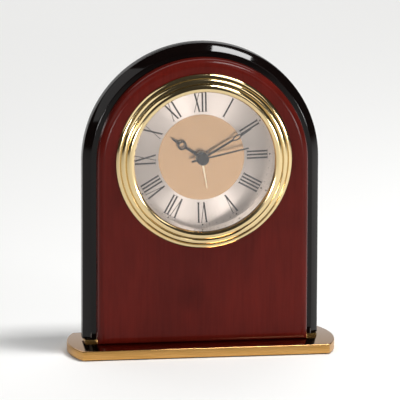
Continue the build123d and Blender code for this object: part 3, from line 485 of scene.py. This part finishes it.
# Polished brass under clear lacquer: pale gold, sharp in its reflections.
polished_brass, tree, shader, place = start_material(
    "polished_brass", Base_Color=linear("#dac394"), Metallic=1.0
)
haze = add_node(tree, "ShaderNodeTexNoise", {"Vector": place, "Scale": 1 / (8 * mm), "Detail": 3.0})
polish = add_node(
    tree, "ShaderNodeMapRange", {"Value": haze.outputs["Fac"], "To Min": 0.07, "To Max": 0.16}
)
tree.links.new(polish.outputs["Result"], shader.inputs["Roughness"])
finish_piece(bezel, "brass_bezel", polished_brass, ["bezel"], sharp_from=32)

# ==== Lens and gasket =======================================================================
# A flat disc of mineral glass, pressed in behind the bezel's lip and bedded on a thin ring cut
# from rubber. The same rubber makes the band that grips the case round the insert's cup.

# Mineral glass: clear enough that only a trace of sheen shows.
mineral_glass, tree, shader, place = start_material("mineral_glass", Roughness=0.02, Alpha=0.06)
give_finish(mineral_glass, "lens")

# Nitrile rubber: matt black with a fine bloom.
nitrile_rubber, tree, shader, place = start_material("nitrile_rubber", Roughness=0.75)
bloom = add_node(tree, "ShaderNodeTexNoise", {"Vector": place, "Scale": 1 / (1.5 * mm), "Detail": 3.0})
tone = add_node(tree, "ShaderNodeValToRGB", {"Fac": bloom.outputs["Fac"]})
tone.color_ramp.elements[0].color = linear("#161617")
tone.color_ramp.elements[1].color = linear("#262627")
tree.links.new(tone.outputs["Color"], shader.inputs["Base Color"])
give_finish(nitrile_rubber, "lens_gasket", "grip_band")

# ==== Dial ring =============================================================================
# The bright wall between the glass and the dial: a low cone spun from thin aluminium and
# dropped in behind the bezel, where it stands between the gasket and the dial.
ring_low, ring_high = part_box("dial_ring")
ring_depth = (ring_high.y - ring_low.y) / mm
dial_ring = spin_ring([(36.1, 0), (37.4, 0), (37.4, ring_depth), (36.4, ring_depth)], ring_low.y)

# Bright aluminium: mirrors the dial and the numerals beside it.
bright_aluminium, tree, shader, place = start_material(
    "bright_aluminium", Base_Color=linear("#e9e3dc"), Metallic=1.0
)
haze = add_node(tree, "ShaderNodeTexNoise", {"Vector": place, "Scale": 1 / (5 * mm), "Detail": 2.0})
polish = add_node(
    tree, "ShaderNodeMapRange", {"Value": haze.outputs["Fac"], "To Min": 0.1, "To Max": 0.2}
)
tree.links.new(polish.outputs["Result"], shader.inputs["Roughness"])
finish_piece(dial_ring, "bright_ring", bright_aluminium, ["dial_ring"])

# ==== Dial plate ============================================================================
# A disc of thin aluminium, brushed outwards from the middle on a turntable and then silvered.
# Two feet on its back go into holes in the movement's front plate.

# Sunburst silvering: each brush line spreads the light sideways, so the brightness stands in
# two opposite wedges. The true lines are a tenth of a millimetre apart, finer than drawn.
sunburst_silver, tree, shader, place = start_material(
    "sunburst_silver", Metallic=1.0, Roughness=0.42, Anisotropic=0.85
)
from_middle = add_node(
    tree, "ShaderNodeMapping", {"Vector": place, "Location": (0, 0, -dial_z)}
)
axes = add_node(tree, "ShaderNodeSeparateXYZ", {"Vector": from_middle.outputs["Vector"]})
bearing = add_node(
    tree, "ShaderNodeMath", {0: axes.outputs["X"], 1: axes.outputs["Z"]}, operation="ARCTAN2"
)
dial_edge = 36 * mm
line_spacing = 0.5 * mm
lines_per_radian = dial_edge / line_spacing
line_place = add_node(
    tree, "ShaderNodeMath", {0: bearing.outputs["Value"], 1: lines_per_radian}, operation="MULTIPLY"
)
lines = add_node(
    tree,
    "ShaderNodeTexNoise",
    {"W": line_place.outputs["Value"], "Scale": 1.0, "Detail": 3.0},
    noise_dimensions="1D",
)
tone = add_node(tree, "ShaderNodeValToRGB", {"Fac": lines.outputs["Fac"]})
tone.color_ramp.elements[0].position = 0.3
tone.color_ramp.elements[0].color = linear("#d3c5bc")
tone.color_ramp.elements[1].position = 0.7
tone.color_ramp.elements[1].color = linear("#e2d4ca")
round_middle = add_node(tree, "ShaderNodeTangent", direction_type="RADIAL", axis="Y")
tree.links.new(tone.outputs["Color"], shader.inputs["Base Color"])
tree.links.new(round_middle.outputs["Tangent"], shader.inputs["Tangent"])
give_finish(sunburst_silver, "dial_plate")

# ==== Dial centre disc ======================================================================
# A disc of gilt foil, blanked from sheet and bonded to the middle of the dial. The hands'
# pipes come up through its centre.

# Gilt foil: nearly a mirror, so the hands show in it again as soft brown ghosts.
gilt_foil, tree, shader, place = start_material(
    "gilt_foil", Base_Color=linear("#d3aa81"), Metallic=1.0
)
haze = add_node(tree, "ShaderNodeTexNoise", {"Vector": place, "Scale": 1 / (9 * mm), "Detail": 0.0})
polish = add_node(
    tree, "ShaderNodeMapRange", {"Value": haze.outputs["Fac"], "To Min": 0.22, "To Max": 0.27}
)
tree.links.new(polish.outputs["Result"], shader.inputs["Roughness"])
give_finish(gilt_foil, "dial_centre_disc")

# ==== Dial printing =========================================================================
# Numerals and minute dots in thick ink. Each Roman numeral stands on the silver with its head
# outwards; heavy and light strokes alternate as they do in cut letters.
dial_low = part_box("dial_plate")[0]
ink_thick = 0.03 * mm
ink_y = dial_low.y - ink_thick / 2
numeral_foot = 23.4 * mm
numeral_head = 33.8 * mm
dot_radius = 35.0 * mm
heavy = 0.86 * mm
light = 0.34 * mm
serif = 0.2 * mm
serif_reach = 0.35 * mm
letter_gap = 0.7 * mm
hour_dot = 0.42 * mm
minute_dot = 0.2 * mm
printed_askew = math.radians(-1.3)
printing = bmesh.new()


def print_stroke(turn, foot, head, width):
    """One bar of ink between two (across, outwards) points beside the line at this angle."""
    across = Vector((math.cos(turn), 0, -math.sin(turn)))
    outwards = Vector((math.sin(turn), 0, math.cos(turn)))
    start = across * foot[0] + outwards * foot[1]
    end = across * head[0] + outwards * head[1]
    middle = (start + end) / 2 + Vector((0, ink_y, dial_z))
    columns = (across * width, end - start, Vector((0, ink_thick, 0)), middle)
    matrix = Matrix([[column[row] for column in columns] for row in range(3)] + [(0, 0, 0, 1)])
    bmesh.ops.create_cube(printing, size=1.0, matrix=matrix)


def print_serif(turn, across, outwards, width):
    """A thin bar across one end of a stroke."""
    inner = (across, outwards - serif / 2)
    outer = (across, outwards + serif / 2)
    print_stroke(turn, inner, outer, width + 2 * serif_reach)


letter_width = {"I": 1.72 * mm, "V": 3.9 * mm, "X": 4.0 * mm}
for hour, word in enumerate("XII I II III IIII V VI VII VIII IX X XI".split()):
    turn = math.radians(30 * hour) + printed_askew
    across = -sum(letter_width[letter] for letter in word) / 2
    for letter in word:
        middle = across + letter_width[letter] / 2
        spread = letter_width[letter] / 2 - letter_gap
        if letter == "I":
            print_stroke(turn, (middle, numeral_foot), (middle, numeral_head), heavy)
            print_serif(turn, middle, numeral_foot, heavy)
            print_serif(turn, middle, numeral_head, heavy)
        if letter == "V":
            print_stroke(turn, (middle, numeral_foot), (middle - spread, numeral_head), heavy)
            print_stroke(turn, (middle, numeral_foot), (middle + spread, numeral_head), light)
            print_serif(turn, middle - spread, numeral_head, heavy)
            print_serif(turn, middle + spread, numeral_head, light)
        if letter == "X":
            print_stroke(
                turn, (middle + spread, numeral_foot), (middle - spread, numeral_head), heavy
            )
            print_stroke(
                turn, (middle - spread, numeral_foot), (middle + spread, numeral_head), light
            )
            for side in (-1, 1):
                print_serif(turn, middle + side * spread, numeral_foot, light)
                print_serif(turn, middle + side * spread, numeral_head, light)
        across += letter_width[letter]

for minute in range(60):
    turn = math.radians(6 * minute) + printed_askew
    radius = hour_dot if minute % 5 == 0 else minute_dot
    spot = (dot_radius * math.sin(turn), ink_y, dial_z + dot_radius * math.cos(turn))
    bmesh.ops.create_cone(
        printing,
        cap_ends=True,
        segments=12,
        radius1=radius,
        radius2=radius,
        depth=ink_thick,
        matrix=Matrix.Translation(spot) @ Matrix.Rotation(math.pi / 2, 4, "X"),
    )

# Printing ink: brown-black and slightly uneven in its gloss.
printing_ink, tree, shader, place = start_material(
    "printing_ink", Base_Color=linear("#2a1d1a"), Specular_IOR_Level=0.2
)
film = add_node(tree, "ShaderNodeTexNoise", {"Vector": place, "Scale": 1 / (1 * mm)})
gloss = add_node(
    tree, "ShaderNodeMapRange", {"Value": film.outputs["Fac"], "To Min": 0.4, "To Max": 0.6}
)
tree.links.new(gloss.outputs["Result"], shader.inputs["Roughness"])
finish_piece(printing, "dial_printing", printing_ink, sharp_from=30)

# ==== Hands =================================================================================
# Stamped from thin aluminium and pressed on to their pipes. The seconds hand carries the cap
# that hides the others.

# Sprayed black: a thin paint with a faint orange peel.
sprayed_black, tree, shader, place = start_material(
    "sprayed_black", Base_Color=linear("#120c0a"), Roughness=0.35, Specular_IOR_Level=0.3
)
peel = add_node(tree, "ShaderNodeTexNoise", {"Vector": place, "Scale": 1 / (0.6 * mm)})
orange_peel = add_node(
    tree, "ShaderNodeBump", {"Height": peel.outputs["Fac"], "Distance": 0.02 * mm, "Strength": 0.4}
)
tree.links.new(orange_peel.outputs["Normal"], shader.inputs["Normal"])
give_finish(sprayed_black, "hour_hand", "minute_hand", "second_hand")

# Pale gilt plating: close to the disc's own colour, so the alarm hand stays in the background.
pale_gilt, tree, shader, place = start_material(
    "pale_gilt", Base_Color=linear("#f7e6c8"), Metallic=1.0
)
haze = add_node(tree, "ShaderNodeTexNoise", {"Vector": place, "Scale": 1 / (3 * mm)})
polish = add_node(
    tree, "ShaderNodeMapRange", {"Value": haze.outputs["Fac"], "To Min": 0.3, "To Max": 0.4}
)
tree.links.new(polish.outputs["Result"], shader.inputs["Roughness"])
give_finish(pale_gilt, "alarm_hand")

# ==== Insert housing, movement case and knobs ===============================================
# Black mouldings: the cup that fills the bore, the box of the movement with its battery bay,
# and the two setting knobs. The cup is held by its rubber band, the box by two screws.

# Moulded ABS: the mould's spark-eroded texture keeps it satin. The texture is drawn coarser
# than it is, at a third of a millimetre, so that it shows.
moulded_abs, tree, shader, place = start_material("moulded_abs", Roughness=0.5)
spark = add_node(tree, "ShaderNodeTexNoise", {"Vector": place, "Scale": 1 / (0.33 * mm), "Detail": 2.0})
tone = add_node(tree, "ShaderNodeValToRGB", {"Fac": spark.outputs["Fac"]})
tone.color_ramp.elements[0].color = linear("#141416")
tone.color_ramp.elements[1].color = linear("#222225")
texture = add_node(
    tree, "ShaderNodeBump", {"Height": spark.outputs["Fac"], "Distance": 0.04 * mm, "Strength": 0.6}
)
tree.links.new(tone.outputs["Color"], shader.inputs["Base Color"])
tree.links.new(texture.outputs["Normal"], shader.inputs["Normal"])
give_finish(
    moulded_abs,
    "insert_housing",
    "movement_front_plate",
    "movement_rear_case",
    "time_set_knob",
    "alarm_set_knob",
    "alarm_sounder",
)

# ==== Screws, contacts and other steel ======================================================
# Pan-head screws, the battery's contacts, the quartz crystal's can, and the motor's pressed
# steel and magnet, all plated so that they don't rust inside the case.

# Zinc plate: bright grey steel, cloudy at the scale of its crystals.
zinc_plate, tree, shader, place = start_material("zinc_plate", Metallic=1.0)
clouds = add_node(tree, "ShaderNodeTexNoise", {"Vector": place, "Scale": 1 / (1.2 * mm), "Detail": 3.0})
tone = add_node(tree, "ShaderNodeValToRGB", {"Fac": clouds.outputs["Fac"]})
tone.color_ramp.elements[0].color = linear("#a3a7ac")
tone.color_ramp.elements[1].color = linear("#c9cbce")
polish = add_node(
    tree, "ShaderNodeMapRange", {"Value": clouds.outputs["Fac"], "To Min": 0.22, "To Max": 0.4}
)
tree.links.new(tone.outputs["Color"], shader.inputs["Base Color"])
tree.links.new(polish.outputs["Result"], shader.inputs["Roughness"])
give_finish(
    zinc_plate,
    "case_screws",
    "movement_screws",
    "insert_screws",
    "battery_contact_positive",
    "battery_contact_negative",
    "stator",
    "quartz_crystal",
    "rotor_magnet",
)

# ==== Alarm switch ==========================================================================
# A moulded slider, red so that it is found at the back of the clock. It slides inside the
# movement's back wall, with its thumb tab out through a slot.

# Red ABS: glossier than the case, with faint flow marks from the moulding.
red_abs, tree, shader, place = start_material("red_abs", Roughness=0.35)
flow = add_node(tree, "ShaderNodeTexNoise", {"Vector": place, "Scale": 1 / (2 * mm), "Detail": 2.0})
tone = add_node(tree, "ShaderNodeValToRGB", {"Fac": flow.outputs["Fac"]})
tone.color_ramp.elements[0].color = linear("#9a1913")
tone.color_ramp.elements[1].color = linear("#b3221a")
tree.links.new(tone.outputs["Color"], shader.inputs["Base Color"])
give_finish(red_abs, "alarm_switch")

# ==== Battery ===============================================================================
# An AA cell: a steel can in a shrunk plastic sleeve, black with a copper-coloured band at the
# positive end. The sleeve stops short of both ends.
cell_low, cell_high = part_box("battery")

# Printed sleeve: glossy film, and bare nickelled steel at the ends.
printed_sleeve, tree, shader, place = start_material("printed_sleeve", Roughness=0.28)
sleeve_start, sleeve_end, copper_from = 0.012, 0.972, 0.7
axes = add_node(tree, "ShaderNodeSeparateXYZ", {"Vector": place})
along = add_node(
    tree,
    "ShaderNodeMapRange",
    {"Value": axes.outputs["X"], "From Min": cell_low.x, "From Max": cell_high.x},
)
bands = add_node(tree, "ShaderNodeValToRGB", {"Fac": along.outputs["Result"]})
bands.color_ramp.interpolation = "CONSTANT"
bands.color_ramp.elements[0].color = linear("#b9bbbe")
bands.color_ramp.elements[1].position = sleeve_start
bands.color_ramp.elements[1].color = linear("#18181b")
bands.color_ramp.elements.new(copper_from).color = linear("#b5723c")
bands.color_ramp.elements.new(sleeve_end).color = linear("#b9bbbe")
bare_ends = add_node(tree, "ShaderNodeValToRGB", {"Fac": along.outputs["Result"]})
bare_ends.color_ramp.interpolation = "CONSTANT"
bare_ends.color_ramp.elements[0].color = (1, 1, 1, 1)
bare_ends.color_ramp.elements[1].position = sleeve_start
bare_ends.color_ramp.elements[1].color = (0, 0, 0, 1)
bare_ends.color_ramp.elements.new(sleeve_end).color = (1, 1, 1, 1)
tree.links.new(bands.outputs["Color"], shader.inputs["Base Color"])
tree.links.new(bare_ends.outputs["Color"], shader.inputs["Metallic"])
give_finish(printed_sleeve, "battery")

# ==== Wheels, arbors and middle plate =======================================================
# The going train, the motion work and the middle plate, closed inside the movement's box.
# They are moulded, run dry, and turn in bearings in the plates and the rear case.

# Natural acetal: milky white, slightly waxy, with a trace of the mould's grain.
natural_acetal, tree, shader, place = start_material(
    "natural_acetal", Roughness=0.4, Subsurface_Weight=0.1, Subsurface_Scale=0.5 * mm
)
grain = add_node(tree, "ShaderNodeTexNoise", {"Vector": place, "Scale": 1 / (1 * mm), "Detail": 2.0})
tone = add_node(tree, "ShaderNodeValToRGB", {"Fac": grain.outputs["Fac"]})
tone.color_ramp.elements[0].color = linear("#dedacf")
tone.color_ramp.elements[1].color = linear("#ebe8e0")
tree.links.new(tone.outputs["Color"], shader.inputs["Base Color"])
give_finish(
    natural_acetal,
    "movement_middle_plate",
    "second_wheel",
    "third_wheel",
    "centre_wheel",
    "intermediate_wheel",
    "rotor_pinion",
    "minute_pipe",
    "motion_wheel",
    "hour_wheel",
    "alarm_wheel",
    "alarm_set_arbor",
)

# ==== Coil ==================================================================================
# Thousands of turns of hair-fine enamelled wire, wound on a core that stands at the side of
# the box and joins the ends of the stator's two arms.

# Enamelled copper: the turns are drawn at 0.15 mm, three times their true pitch.
enamelled_copper, tree, shader, place = start_material(
    "enamelled_copper", Base_Color=linear("#a8542a"), Metallic=1.0, Roughness=0.35
)
wire_pitch = 0.15 * mm
turns = add_node(
    tree,
    "ShaderNodeTexWave",
    {"Vector": place, "Scale": 1 / (20 * wire_pitch) * math.pi},
    bands_direction="X",
)
wire = add_node(tree, "ShaderNodeBump", {"Height": turns.outputs["Fac"], "Distance": 0.05 * mm})
tree.links.new(wire.outputs["Normal"], shader.inputs["Normal"])
give_finish(enamelled_copper, "coil")

# ==== Circuit board =========================================================================
# A strip of glass-epoxy laminate, etched and cut out, that carries the quartz crystal and a
# chip under a blob of resin.

# Solder mask: glossy green, lighter where copper lies under it.
solder_mask, tree, shader, place = start_material("solder_mask", Roughness=0.3)
tracks = add_node(
    tree, "ShaderNodeTexVoronoi", {"Vector": place, "Scale": 1 / (2 * mm)}, distance="MANHATTAN"
)
tone = add_node(tree, "ShaderNodeValToRGB", {"Fac": tracks.outputs["Distance"]})
tone.color_ramp.interpolation = "CONSTANT"
tone.color_ramp.elements[0].color = linear("#1f6d3e")
tone.color_ramp.elements[1].position = 0.35
tone.color_ramp.elements[1].color = linear("#124a28")
tree.links.new(tone.outputs["Color"], shader.inputs["Base Color"])
give_finish(solder_mask, "circuit_board")

# ==== Floor and light =======================================================================
# A plain white floor; a hard-edged lamp overhead to the right, a long strip over the front
# right, a screen at the left, two low lamps for the dial, and a wide lamp and a backdrop behind.
ground = bmesh.new()
bmesh.ops.create_circle(ground, cap_ends=True, segments=96, radius=4.0)
floor_mesh = bpy.data.meshes.new("floor")
ground.to_mesh(floor_mesh)
ground.free()
white_paper, tree, shader, place = start_material(
    "white_paper", Base_Color=linear("#f6f6f5"), Roughness=0.9, Specular_IOR_Level=0.1
)
floor_mesh.materials.append(white_paper)
floor = bpy.data.objects.new("floor", floor_mesh)
bpy.context.scene.collection.objects.link(floor)


def hang_lamp(name, radiance, width, height, location, target=(0, 0, 0.09)):
    """A rectangular lamp of this brightness, turned to face the clock or another target."""
    data = bpy.data.lights.new(name, "AREA")
    data.shape = "RECTANGLE"
    data.size = width
    data.size_y = height
    data.energy = radiance * math.pi * width * height
    lamp = bpy.data.objects.new(name, data)
    lamp.location = location
    aim = Vector(target) - Vector(location)
    lamp.rotation_euler = aim.to_track_quat("-Z", "Y").to_euler()
    bpy.context.scene.collection.objects.link(lamp)


hang_lamp("overhead", 32, 0.5, 0.24, (0.49, -0.215, 1.05), (0.49, -0.215, 0))
hang_lamp("front_strip", 2.8, 0.2, 1.1, (0.72, -1.05, 0.92))
hang_lamp("left_screen", 1.4, 1.2, 1.1, (-1.12, -0.6, 0.95))
hang_lamp("low_left", 44, 0.4, 0.16, (-0.77, -2.05, 0.10))
hang_lamp("low_right", 50, 0.4, 0.16, (1.2, -1.6, 0.10))
hang_lamp("behind", 2.0, 2.4, 1.2, (0.0, 1.5, 1.3), (0, 0.9, 0))
hang_lamp("backdrop", 0.6, 3.0, 0.9, (0.0, 2.2, 0.47))
room = bpy.data.worlds.new("room")
room.use_nodes = True
room.node_tree.nodes["Background"].inputs["Color"].default_value = linear("#f4f0ea")
room.node_tree.nodes["Background"].inputs["Strength"].default_value = 0.06
bpy.context.scene.world = room
bpy.context.scene.view_settings.view_transform = "Standard"
